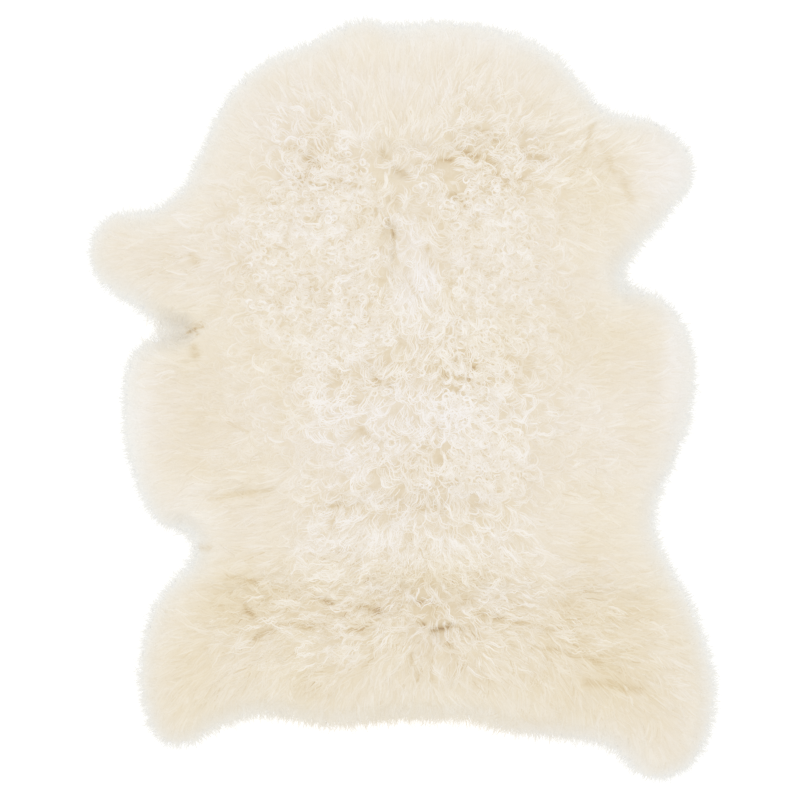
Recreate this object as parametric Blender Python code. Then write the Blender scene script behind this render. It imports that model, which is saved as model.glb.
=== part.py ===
"""Sheepskin rug: one natural pelt with its wool on, lying flat with the wool up.

Metres, +Z up, the neck end towards +Y. The origin is the middle of the rug's bounding box, on the
floor. The wool grows out of the pelt, so the two are one piece and one closed solid: a flat
underside, a rim rounded under and over, and a crowned top with the soft partings of the fleece.
The outline runs along the tips of the wool.
"""

import bmesh
import bpy
import numpy as np
from mathutils.geometry import delaunay_2d_cdt

CROWN = 0.046  # height of the wool over the back
RIM = 0.011  # height of the outermost wool tips
ROUND_OVER = 0.060  # run from the rim in to the full height
OUTLINE_STEP = 0.014  # spacing of the points along the rim
GRID = 0.017  # spacing of the points of the wool top
RIM_ROWS = (0.004, 0.012, 0.024, 0.038)  # insets of the rows that follow the rim on the top
UNDER_ROWS = ((0.0025, 0.004), (0.0075, 0.0))  # inset and height of the rows below the rim
FINE = 60  # curve points between two landmarks, before they are spaced evenly
ROW_DETAIL = 8  # points of the fine outline for each point of the rim
WIDE_GAP = 0.010  # a row gets more points round a notch, where its own lie further off than this
SAME_POINT = 1e-6

WOOL_COLOUR = (0.855, 0.776, 0.651, 1.0)
WOOL_ROUGHNESS = 0.95

# The rug's outline, clockwise as seen from above.
OUTLINE = (
    # landmark, x, y
    ("dip in the neck edge", -0.007, 0.434),
    ("neck edge, right", 0.058, 0.440),
    ("neck corner, right", 0.121, 0.428),
    ("neck side, right", 0.181, 0.397),
    ("right foreleg, front root", 0.240, 0.336),
    ("right foreleg, front", 0.302, 0.321),
    ("right foreleg, front corner", 0.335, 0.292),
    ("right foreleg, tip", 0.346, 0.262),
    ("right foreleg, back corner", 0.325, 0.227),
    ("right foreleg, back root", 0.262, 0.152),
    ("right armpit", 0.260, 0.129),
    ("right flank, front corner", 0.290, 0.122),
    ("right flank, front", 0.325, 0.097),
    ("right flank, widest", 0.346, 0.035),
    ("right flank, back", 0.330, -0.057),
    ("right waist, front", 0.300, -0.127),
    ("right waist, back", 0.299, -0.165),
    ("right haunch", 0.345, -0.256),
    ("right hind leg, outside", 0.369, -0.345),
    ("right hind leg, corner", 0.361, -0.402),
    ("right hind leg, tip", 0.334, -0.444),
    ("right hind leg, inner corner", 0.290, -0.452),
    ("right hind leg, inner root", 0.246, -0.415),
    ("tail edge, right", 0.173, -0.402),
    ("tail edge, step", 0.122, -0.394),
    ("tail edge, after the step", 0.088, -0.382),
    ("tail edge, middle", 0.000, -0.381),
    ("tail edge, low", -0.083, -0.388),
    ("tail edge, left", -0.165, -0.376),
    ("left hind leg, inner root", -0.219, -0.391),
    ("left hind leg, inner corner", -0.252, -0.412),
    ("left hind leg, tip", -0.282, -0.411),
    ("left hind leg, corner", -0.300, -0.382),
    ("left hind leg, outside", -0.309, -0.325),
    ("left haunch", -0.288, -0.243),
    ("left waist, back", -0.250, -0.200),
    ("left waist", -0.243, -0.177),
    ("left waist, front", -0.253, -0.158),
    ("left flank, back corner", -0.283, -0.154),
    ("left flank, back", -0.309, -0.115),
    ("left flank, widest", -0.329, -0.030),
    ("left flank, front", -0.320, 0.045),
    ("left flank, front corner", -0.292, 0.067),
    ("left armpit", -0.253, 0.077),
    ("left foreleg, back root", -0.290, 0.087),
    ("left foreleg, back", -0.315, 0.108),
    ("left foreleg, back corner", -0.350, 0.129),
    ("left foreleg, tip", -0.370, 0.166),
    ("left foreleg, front corner", -0.347, 0.211),
    ("left foreleg, front", -0.299, 0.216),
    ("left foreleg, front root", -0.259, 0.243),
    ("neck side, left", -0.232, 0.298),
    ("neck side, upper left", -0.205, 0.352),
    ("neck corner, left", -0.164, 0.391),
    ("neck edge, far left", -0.103, 0.417),
    ("neck edge, left", -0.047, 0.443),
)

# Valleys where the fleece parts, each along a straight line.
PARTINGS = (
    # parting, start x, start y, end x, end y, half width, depth
    ("across the neck, left", -0.125, 0.262, -0.010, 0.278, 0.017, 0.008),
    ("across the neck, right", 0.000, 0.282, 0.205, 0.300, 0.018, 0.009),
    ("behind the right foreleg", 0.236, 0.322, 0.262, 0.215, 0.016, 0.006),
    ("behind the left foreleg", -0.235, 0.190, -0.225, 0.075, 0.018, 0.005),
    ("down the spine", -0.019, 0.238, -0.002, 0.150, 0.012, 0.009),
    ("left shoulder", -0.238, 0.060, -0.218, -0.010, 0.018, 0.006),
    ("right shoulder", 0.238, 0.130, 0.225, 0.020, 0.020, 0.005),
    ("across the loin, left", -0.240, -0.118, -0.120, -0.112, 0.016, 0.006),
    ("across the loin, middle", -0.080, -0.132, 0.110, -0.122, 0.014, 0.007),
    ("across the rump, left", -0.230, -0.235, -0.020, -0.232, 0.024, 0.009),
    ("across the rump, right", -0.020, -0.240, 0.300, -0.245, 0.026, 0.010),
    ("pocket in the rump", 0.028, -0.272, 0.068, -0.276, 0.013, 0.008),
    ("rump, lower left", -0.180, -0.262, -0.150, -0.300, 0.014, 0.006),
    ("above the tail", 0.020, -0.305, 0.022, -0.345, 0.013, 0.006),
)

# Gentle swells of the whole fleece.
SWELLS = (
    # wavelength, heading in degrees, phase in degrees, height
    (0.260, 25.0, 40.0, 0.0014),
    (0.170, 112.0, 200.0, 0.0012),
    (0.095, 64.0, 310.0, 0.0009),
    (0.078, 158.0, 95.0, 0.0008),
)


def smooth_loop(landmarks, step):
    """Points about a step apart on the closed centripetal Catmull-Rom curve through landmarks."""
    here = np.array(landmarks)
    before, after, beyond = (np.roll(here, n, axis=0) for n in (1, -1, -2))

    def knot(start, end):
        return np.sqrt(np.linalg.norm(end - start, axis=1))[:, None]

    first, middle, last = knot(before, here), knot(here, after), knot(after, beyond)
    leaving = (here - before) / first - (after - before) / (first + middle)
    leaving = leaving * middle + after - here
    arriving = (beyond - after) / last - (beyond - here) / (middle + last)
    arriving = arriving * middle + after - here
    t = np.linspace(0.0, 1.0, FINE, endpoint=False)[:, None, None]
    curve = (
        (2 * t**3 - 3 * t**2 + 1) * here
        + (t**3 - 2 * t**2 + t) * leaving
        + (3 * t**2 - 2 * t**3) * after
        + (t**3 - t**2) * arriving
    )
    curve = curve.transpose(1, 0, 2).reshape(-1, 2)
    closed = np.vstack([curve, curve[:1]])
    run = np.concatenate([[0.0], np.cumsum(np.linalg.norm(np.diff(closed, axis=0), axis=1))])
    stops = np.linspace(0.0, run[-1], round(run[-1] / step), endpoint=False)
    return np.stack([np.interp(stops, run, closed[:, axis]) for axis in (0, 1)], axis=1)


def outline(step):
    """The outline's points about a step apart, with the middle of its bounding box at the origin."""
    loop = smooth_loop([(x, y) for _, x, y in OUTLINE], step)
    return loop - (loop.min(axis=0) + loop.max(axis=0)) / 2


def inset(loop, distance):
    """The clockwise loop moved inwards along its normals, point by point."""
    along = np.roll(loop, -1, axis=0) - np.roll(loop, 1, axis=0)
    along /= np.linalg.norm(along, axis=1)[:, None]
    return loop + distance * np.stack([along[:, 1], -along[:, 0]], axis=1)


def segment_distance(points, starts, ends):
    """Distance in the plane of each point to each segment."""
    span = ends - starts
    offset = points[:, None] - starts
    share = (offset * span).sum(axis=2) / (span**2).sum(axis=1)
    nearest = starts + np.clip(share, 0.0, 1.0)[..., None] * span
    return np.linalg.norm(points[:, None] - nearest, axis=2)


def rim_distance(points, loop):
    return segment_distance(points, loop, np.roll(loop, -1, axis=0)).min(axis=1)


def is_inside(points, loop):
    """True for each point that a line towards +X crosses the loop an odd number of times from."""
    start, end = loop, np.roll(loop, -1, axis=0)
    x, y = points[:, None, 0], points[:, None, 1]
    spans = (start[:, 1] > y) != (end[:, 1] > y)
    rise = np.where(start[:, 1] == end[:, 1], 1.0, end[:, 1] - start[:, 1])
    crossing = start[:, 0] + (y - start[:, 1]) * (end[:, 0] - start[:, 0]) / rise
    return (spans & (x < crossing)).sum(axis=1) % 2 == 1


def thinned(row, gap):
    """The points of the row that keep a gap from the one kept before."""
    kept = [row[0]]
    for point in row[1:]:
        if np.linalg.norm(point - kept[-1]) >= gap and np.linalg.norm(point - kept[0]) >= gap / 2:
            kept.append(point)
    return np.array(kept)


def rim_row(loop, distance):
    """The loop's points moved in by the distance, without those that meet another side's."""
    row = inset(loop, distance)
    return row[rim_distance(row, loop) > 0.96 * distance]


def top_points(loop, fine_loop):
    """Points of the wool top: rows that follow the rim, then staggered rows over the back."""
    found = []
    for distance in RIM_ROWS:
        row = rim_row(loop, distance)
        spread = rim_row(fine_loop, distance)
        apart = np.linalg.norm(spread[:, None] - row, axis=2).min(axis=1)
        wide = spread[apart > WIDE_GAP]
        found.append(row)
        if len(wide):
            found.append(thinned(wide, OUTLINE_STEP))
    low, high = loop.min(axis=0), loop.max(axis=0)
    row_gap = GRID * 3**0.5 / 2
    for number, y in enumerate(np.arange(low[1], high[1], row_gap)):
        x = np.arange(low[0] + GRID / 2 * (number % 2), high[0], GRID)
        row = np.stack([x, np.full_like(x, y)], axis=1)
        row = row[is_inside(row, loop)]
        if len(row):
            found.append(row[rim_distance(row, loop) > RIM_ROWS[-1] + GRID / 2])
    return np.vstack(found)


def wool_height(points, loop):
    """Height of the wool top: a rounded rim, a level crown, and its partings and swells."""
    rise = np.clip(rim_distance(points, loop) / ROUND_OVER, 0.0, 1.0)
    height = RIM + (CROWN - RIM) * np.sqrt(1.0 - (1.0 - rise) ** 2)
    for _, x0, y0, x1, y1, half_width, depth in PARTINGS:
        away = segment_distance(points, np.array([[x0, y0]]), np.array([[x1, y1]]))[:, 0]
        height -= rise * depth * np.exp(-((away / half_width) ** 2))
    for wavelength, heading, phase, swell in SWELLS:
        turn = np.radians(heading)
        across = points @ np.array([np.cos(turn), np.sin(turn)])
        height += rise * swell * np.sin(2 * np.pi * across / wavelength + np.radians(phase))
    return height


def wool_top(mesh, loop, fine_loop):
    """Builds the top's triangles, and returns the vertices on its rim in the loop's order."""
    flat = np.vstack([loop, top_points(loop, fine_loop)])
    rim_face = list(range(len(loop)))
    points, _, triangles, sources, _, _ = delaunay_2d_cdt(
        [tuple(point) for point in flat], [], [rim_face], 1, SAME_POINT
    )
    plan = np.array([tuple(point) for point in points])
    height = wool_height(plan, loop)
    made = [mesh.verts.new((x, y, z)) for (x, y), z in zip(plan, height)]
    for triangle in triangles:
        mesh.faces.new([made[corner] for corner in triangle])
    index = {source: place for place, found in enumerate(sources) for source in found}
    return [made[index[number]] for number in range(len(loop))]


def rim_and_underside(mesh, loop, rim):
    """Closes the solid below the rim: a rounded band, then the flat underside."""
    upper = rim
    for distance, height in UNDER_ROWS:
        lower = [mesh.verts.new((x, y, height)) for x, y in inset(loop, distance)]
        for number, corner in enumerate(upper):
            behind = number - 1
            mesh.faces.new((upper[behind], corner, lower[number], lower[behind]))
        upper = lower
    mesh.faces.new(upper)


def wool_material():
    material = bpy.data.materials.new("natural_wool")
    material.use_nodes = True
    shader = material.node_tree.nodes["Principled BSDF"]
    shader.inputs["Base Color"].default_value = WOOL_COLOUR
    shader.inputs["Roughness"].default_value = WOOL_ROUGHNESS
    shader.inputs["Metallic"].default_value = 0.0
    return material


def sheepskin():
    loop = outline(OUTLINE_STEP)
    mesh = bmesh.new()
    rim = wool_top(mesh, loop, outline(OUTLINE_STEP / ROW_DETAIL))
    rim_and_underside(mesh, loop, rim)
    bmesh.ops.recalc_face_normals(mesh, faces=mesh.faces)
    data = bpy.data.meshes.new("sheepskin")
    mesh.to_mesh(data)
    mesh.free()
    data.shade_smooth()
    data.materials.append(wool_material())
    rug = bpy.data.objects.new("sheepskin", data)
    bpy.context.scene.collection.objects.link(rug)
    return rug


def clear_scene():
    for item in list(bpy.data.objects):
        bpy.data.objects.remove(item, do_unlink=True)


clear_scene()
sheepskin()
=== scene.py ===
"""Looks of the sheepskin rug: the suede hide underneath, the dense fleece and the wool's locks.

Metres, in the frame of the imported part: +Z up, the neck end towards +Y, the floor at z = 0.
"""

import bmesh
import bpy
import numpy as np
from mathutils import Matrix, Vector
from mathutils.bvhtree import BVHTree


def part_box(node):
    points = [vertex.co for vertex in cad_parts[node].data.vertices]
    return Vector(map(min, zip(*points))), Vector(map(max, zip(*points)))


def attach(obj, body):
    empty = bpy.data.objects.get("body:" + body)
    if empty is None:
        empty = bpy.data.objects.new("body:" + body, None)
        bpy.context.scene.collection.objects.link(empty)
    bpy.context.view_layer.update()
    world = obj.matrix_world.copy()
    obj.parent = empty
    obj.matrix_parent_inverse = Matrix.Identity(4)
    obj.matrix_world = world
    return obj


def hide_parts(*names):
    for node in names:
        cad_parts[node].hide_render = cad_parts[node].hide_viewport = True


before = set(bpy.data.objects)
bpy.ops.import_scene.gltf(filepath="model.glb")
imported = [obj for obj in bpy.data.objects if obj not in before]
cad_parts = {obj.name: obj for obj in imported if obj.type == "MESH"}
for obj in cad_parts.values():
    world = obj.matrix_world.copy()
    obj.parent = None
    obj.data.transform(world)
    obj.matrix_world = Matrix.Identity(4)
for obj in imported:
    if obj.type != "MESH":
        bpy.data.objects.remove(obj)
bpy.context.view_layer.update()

SKIN = "sheepskin"
BODY = "root"
rng = np.random.default_rng(20)

# Maps over the plan.
CELL = 0.003  # side of a map's cell
SKIRT = 0.050  # how far the maps reach past the rug, for wool that droops over the rim
SAME_POINT = 1e-6  # corners of the solid closer than this are one
RIM_DROOP = 0.030  # run past the rim in which drooping wool comes down to the floor
FLOOR_GAP = 0.0015  # the lowest that wool lies above the floor
GUIDE_REACH = 0.048  # distance at which a guide's say has fallen to a third
RIM_SAY = 0.9  # share of the flow that the rim decides, at the rim
RIM_SAY_REACH = 0.050  # how far in from the rim it decides any
CURLS_START = (0.015, 0.060)  # how far in from the rim the first curls and the full ones are
WOBBLE = 0.0025  # how far the troughs stray from their straight lines
TROUGH_FULL = 0.004  # depth at which a trough gets its darkest, warmest colour: painted shade with the yellower deep wool
UNEVEN_FROM = 0.03  # how far in from the rim the troughs and lumps have their full size
ROLL = 0.020  # how far in from the rim the wool starts to come down to the floor
ROLL_PAST = 0.004  # how far past the rim it gets there

# Wool near the rim.
RIM_LIGHT_FADE = 0.019  # run in from the rim over which its painted light falls to a third
LOCKS_SHORT = 0.0027  # how far inside the rim the shortest locks end
LOCKS_PAST = 0.0017  # how much further others reach on average
FUZZ_SHORT = 0.0012  # how far inside the rim the shortest fine fibres end
FUZZ_PAST = 0.0048  # how much further others reach on average
PAST_MOST = 0.012  # the most that any of them reaches further
FIBRE_WIDTH = 0.0005  # of the fine fibres

# How much a place curls or gathers in tufts, from 0 to 1, for each kind of lock.
CURLED = 0.62  # ringlets from here on
HOOKED = 0.30  # hooked locks from here on
STRAIGHT = 0.40  # silky or crimped locks below this
CRIMPED = 0.72  # crimped instead of silky where the wool gathers this much
HALFWAY = 0.018  # the x that parts the left pieces from the right ones

# The sheets under the locks.
HIDE_INSET = 0.020  # how far inside the rim the hide ends
HIDE_THICK = 0.0025
HIDE_GAP = 0.0004  # the hide's height above the floor
HIDE_STEP = 0.010  # spacing of the hide's vertices
HIDE_PULL = 0.012  # the most that a vertex is drawn in to the edge
BASE_INSET = 0.0038  # how far inside the rim the dense wool ends
BASE_SUNK = 0.0012  # how far it lies below the top of the fleece
BASE_STEP = 0.0045  # spacing of its vertices
BASE_PULL = 0.02  # the most that a vertex is drawn in to the edge
CELL_MARGIN = 0.06  # free border of a strand's cell in its UV map

LIGHT = 1.215  # what a white sheet lying flat in the studio light shines back
WHITE = (1.0, 1.0, 1.0, 1.0)
YELLOWED = (1.0, 0.975, 0.87, 1.0)  # what the yellowest wool keeps of each channel

# How the wool lies: the way it points (degrees, 0 along +X, 90 towards the neck), how tightly it
# curls, how far it gathers in tufts, and how long a lock shows.
GUIDES = (
    # place, x, y, heading, curl, tuft, length
    ("neck edge, middle", 0.000, 0.395, 92, 0.00, 0.25, 0.034),
    ("neck edge, left", -0.130, 0.375, 122, 0.00, 0.20, 0.034),
    ("neck edge, right", 0.115, 0.395, 72, 0.00, 0.20, 0.034),
    ("neck corner, right", 0.185, 0.360, 42, 0.00, 0.20, 0.034),
    ("neck, far left", -0.200, 0.300, 152, 0.10, 0.25, 0.032),
    ("neck, left", -0.095, 0.330, 112, 0.35, 0.65, 0.028),
    ("neck, middle", 0.000, 0.335, 90, 0.05, 0.40, 0.036),
    ("neck, right", 0.095, 0.335, 62, 0.30, 0.85, 0.028),
    ("neck crease, left", -0.105, 0.285, 150, 0.75, 0.85, 0.026),
    ("neck crease, middle", 0.015, 0.275, 75, 0.40, 0.80, 0.028),
    ("neck crease, right", 0.095, 0.285, 25, 0.70, 1.00, 0.026),
    ("neck crease, far right", 0.180, 0.290, 12, 0.40, 0.95, 0.028),
    ("right foreleg, root", 0.235, 0.290, 20, 0.10, 0.50, 0.032),
    ("right foreleg", 0.300, 0.275, 5, 0.00, 0.15, 0.032),
    ("right foreleg, back", 0.270, 0.195, -38, 0.00, 0.25, 0.032),
    ("right shoulder, front", 0.200, 0.215, -10, 0.35, 0.35, 0.030),
    ("left foreleg, root", -0.245, 0.185, 178, 0.25, 0.40, 0.032),
    ("left foreleg", -0.335, 0.165, 180, 0.00, 0.20, 0.032),
    ("left foreleg, back", -0.290, 0.115, 214, 0.00, 0.35, 0.032),
    ("left shoulder", -0.150, 0.190, 175, 0.85, 0.50, 0.026),
    ("left back", -0.095, 0.160, 200, 1.00, 0.50, 0.026),
    ("left back, low", -0.110, 0.090, 190, 0.95, 0.50, 0.026),
    ("left of the spine", -0.045, 0.220, 230, 0.95, 0.50, 0.026),
    ("left of the spine, low", -0.040, 0.115, 235, 0.85, 0.55, 0.026),
    ("spine, front", 0.005, 0.225, 272, 0.45, 0.60, 0.034),
    ("spine", 0.016, 0.160, 268, 0.15, 0.80, 0.036),
    ("whorl", 0.026, 0.095, 240, 0.30, 0.90, 0.032),
    ("right of the spine", 0.065, 0.210, 310, 0.95, 0.50, 0.026),
    ("right of the spine, low", 0.070, 0.120, 300, 0.90, 0.50, 0.026),
    ("right back", 0.125, 0.180, 340, 0.95, 0.45, 0.026),
    ("right back, low", 0.145, 0.095, 350, 0.85, 0.45, 0.026),
    ("right shoulder", 0.215, 0.130, 350, 0.40, 0.30, 0.030),
    ("left flank, front", -0.245, 0.040, 178, 0.10, 0.30, 0.034),
    ("right flank, front", 0.285, 0.075, 12, 0.00, 0.25, 0.034),
    ("left flank", -0.290, -0.020, 182, 0.00, 0.20, 0.034),
    ("right flank", 0.295, 0.000, 0, 0.00, 0.20, 0.034),
    ("left side", -0.175, 0.030, 172, 0.45, 0.40, 0.032),
    ("right side", 0.205, 0.030, 5, 0.30, 0.35, 0.034),
    ("swirl", 0.074, 0.030, 320, 0.85, 0.90, 0.026),
    ("middle, left fan", -0.060, 0.015, 172, 0.50, 1.00, 0.032),
    ("middle, right fan", 0.125, 0.010, 8, 0.45, 0.95, 0.034),
    ("middle", 0.020, 0.010, 250, 0.50, 1.00, 0.030),
    ("middle, low left", -0.080, -0.055, 205, 0.55, 0.60, 0.032),
    ("middle, low", 0.020, -0.050, 275, 0.65, 0.90, 0.030),
    ("middle, low right", 0.105, -0.075, 330, 0.85, 0.55, 0.028),
    ("left side, low", -0.180, -0.070, 190, 0.30, 0.35, 0.034),
    ("right side, low", 0.205, -0.080, 352, 0.30, 0.35, 0.034),
    ("left flank, back", -0.285, -0.110, 202, 0.00, 0.20, 0.034),
    ("right waist", 0.280, -0.150, 2, 0.00, 0.20, 0.034),
    ("loin, left", -0.060, -0.155, 228, 0.40, 0.95, 0.036),
    ("loin, middle", 0.015, -0.165, 268, 0.40, 1.00, 0.036),
    ("loin, right", 0.090, -0.160, 300, 0.45, 0.90, 0.034),
    ("loin, far left", -0.170, -0.150, 192, 0.20, 0.25, 0.036),
    ("loin, far right", 0.190, -0.170, 352, 0.15, 0.25, 0.036),
    ("left waist", -0.215, -0.185, 186, 0.00, 0.25, 0.034),
    ("rump, far left", -0.235, -0.245, 172, 0.05, 0.45, 0.036),
    ("rump, left", -0.155, -0.250, 178, 0.10, 1.00, 0.028),
    ("rump, upper left", -0.100, -0.225, 172, 0.15, 1.00, 0.025),
    ("rump, left of middle", -0.060, -0.250, 188, 0.20, 1.00, 0.023),
    ("rump, upper middle", -0.010, -0.228, 184, 0.25, 1.00, 0.022),
    ("rump, middle", 0.012, -0.256, 205, 0.20, 1.00, 0.022),
    ("rump, upper right", 0.060, -0.228, 352, 0.25, 1.00, 0.022),
    ("rump, right of middle", 0.085, -0.254, 345, 0.20, 1.00, 0.023),
    ("rump, right", 0.135, -0.240, 350, 0.15, 1.00, 0.026),
    ("rump, right, outer", 0.200, -0.250, 350, 0.10, 0.80, 0.032),
    ("rump, far right", 0.300, -0.245, 4, 0.00, 0.50, 0.034),
    ("below the rump, left", -0.150, -0.290, 215, 0.05, 0.75, 0.040),
    ("below the rump, middle", 0.020, -0.295, 268, 0.15, 0.80, 0.038),
    ("below the rump, right", 0.130, -0.295, 308, 0.05, 0.75, 0.036),
    ("left hind leg", -0.255, -0.335, 225, 0.00, 0.40, 0.036),
    ("left hind leg, tip", -0.268, -0.385, 255, 0.00, 0.25, 0.034),
    ("tail, left", -0.160, -0.345, 255, 0.00, 0.45, 0.038),
    ("tail, middle", 0.000, -0.345, 270, 0.00, 0.35, 0.038),
    ("tail, right", 0.130, -0.350, 282, 0.00, 0.40, 0.038),
    ("right hind leg, inside", 0.230, -0.370, 290, 0.00, 0.35, 0.036),
    ("right hind leg, tip", 0.310, -0.410, 292, 0.00, 0.20, 0.034),
    ("right hind leg", 0.310, -0.320, 330, 0.00, 0.50, 0.032),
)

# Soft troughs where the locks part. They are coloured darker and warmer: painted shade in the
# crease, with the yellower deep wool.
TROUGHS = (
    # trough, start x, start y, end x, end y, half width, depth
    ("neck pocket, far left", -0.130, 0.294, -0.120, 0.288, 0.004, 0.0015),
    ("neck pocket, left", -0.110, 0.280, -0.097, 0.272, 0.004, 0.0025),
    ("neck streak, left", -0.084, 0.257, -0.030, 0.248, 0.003, 0.0015),
    ("neck streak, left low", -0.120, 0.262, -0.085, 0.244, 0.003, 0.0012),
    ("neck pocket, left of the middle", -0.024, 0.287, -0.014, 0.281, 0.0035, 0.0022),
    ("neck pocket, middle", -0.008, 0.270, 0.011, 0.260, 0.0035, 0.0028),
    ("neck streak, middle", 0.020, 0.277, 0.060, 0.281, 0.003, 0.0020),
    ("neck streak, right", 0.072, 0.290, 0.110, 0.276, 0.0025, 0.0014),
    ("neck streak, upper right", 0.088, 0.314, 0.112, 0.302, 0.0025, 0.0014),
    ("neck streak, lower right", 0.110, 0.262, 0.150, 0.256, 0.003, 0.0018),
    ("neck streak, far right", 0.140, 0.292, 0.172, 0.280, 0.003, 0.0018),
    ("orange pocket", 0.057, 0.238, 0.078, 0.224, 0.005, 0.0018),
    ("right foreleg front", 0.224, 0.320, 0.214, 0.290, 0.003, 0.0030),
    ("right foreleg side", 0.256, 0.268, 0.267, 0.232, 0.004, 0.0018),
    ("right foreleg back", 0.232, 0.300, 0.250, 0.262, 0.005, 0.0010),
    ("spine slit", -0.013, 0.212, -0.008, 0.166, 0.0020, 0.0045),
    ("spine, right", 0.030, 0.180, 0.033, 0.158, 0.003, 0.0015),
    ("whorl slit", 0.010, 0.138, 0.021, 0.111, 0.003, 0.0022),
    ("left foreleg root", -0.244, 0.168, -0.240, 0.158, 0.004, 0.0015),
    # Painted shadow: the dark star in the left armpit's notch, with its spokes below.
    ("left armpit", -0.253, 0.081, -0.240, 0.084, 0.0018, 0.0110),
    ("left armpit, up", -0.241, 0.083, -0.236, 0.091, 0.0012, 0.0060),
    ("left armpit, down", -0.242, 0.085, -0.239, 0.075, 0.0012, 0.0060),
    ("left armpit, right", -0.241, 0.084, -0.232, 0.085, 0.0012, 0.0050),
    ("left armpit, wide", -0.250, 0.084, -0.238, 0.086, 0.0070, 0.0010),
    ("left waist notch", -0.236, -0.176, -0.226, -0.172, 0.005, 0.0016),
    ("left flank pocket", -0.243, 0.062, -0.241, 0.050, 0.004, 0.0022),
    ("left fan", -0.035, 0.030, -0.014, 0.016, 0.003, 0.0025),
    ("swirl, upper left", 0.058, 0.047, 0.067, 0.043, 0.0026, 0.0030),
    ("swirl, upper right", 0.076, 0.042, 0.084, 0.038, 0.0022, 0.0026),
    ("swirl, left", 0.050, 0.032, 0.057, 0.027, 0.0022, 0.0030),
    ("swirl, right", 0.070, 0.025, 0.081, 0.022, 0.0026, 0.0030),
    ("swirl, low", 0.058, 0.013, 0.067, 0.011, 0.0022, 0.0024),
    ("left fan, low", -0.050, -0.034, -0.026, -0.050, 0.003, 0.0018),
    ("loin, far left", -0.225, -0.116, -0.150, -0.104, 0.004, 0.0015),
    ("loin, left", -0.080, -0.126, -0.050, -0.122, 0.003, 0.0018),
    ("loin, middle", 0.010, -0.126, 0.050, -0.128, 0.003, 0.0020),
    ("rump, far left", -0.205, -0.208, -0.172, -0.214, 0.004, 0.0012),
    ("rump, left streak", -0.185, -0.243, -0.174, -0.254, 0.003, 0.0030),
    ("rump, left", -0.143, -0.260, -0.102, -0.266, 0.003, 0.0030),
    ("rump, left low", -0.170, -0.282, -0.152, -0.269, 0.004, 0.0034),
    ("rump, upper left", -0.100, -0.232, -0.078, -0.238, 0.003, 0.0026),
    ("rump, left middle", -0.050, -0.241, -0.024, -0.247, 0.003, 0.0028),
    ("rump, low left middle", -0.060, -0.270, -0.036, -0.262, 0.003, 0.0024),
    ("rump, middle", 0.000, -0.236, 0.036, -0.238, 0.002, 0.0020),
    ("rump slit", 0.035, -0.269, 0.056, -0.266, 0.0024, 0.0080),
    ("rump slit, right", 0.056, -0.266, 0.072, -0.269, 0.0018, 0.0050),
    ("rump slit, left", 0.018, -0.262, 0.026, -0.265, 0.0020, 0.0030),
    ("rump, low middle", 0.046, -0.284, 0.062, -0.286, 0.0020, 0.0016),
    ("rump, right of middle", 0.084, -0.248, 0.118, -0.254, 0.003, 0.0026),
    ("rump, right", 0.133, -0.258, 0.172, -0.269, 0.003, 0.0022),
    ("rump, right low", 0.152, -0.288, 0.230, -0.304, 0.004, 0.0014),
    ("haunch, right", 0.215, -0.328, 0.278, -0.340, 0.005, 0.0012),
    ("above the tail", 0.012, -0.296, 0.020, -0.330, 0.0025, 0.0016),
    ("above the tail, right", 0.036, -0.300, 0.034, -0.328, 0.0025, 0.0012),
)

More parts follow.
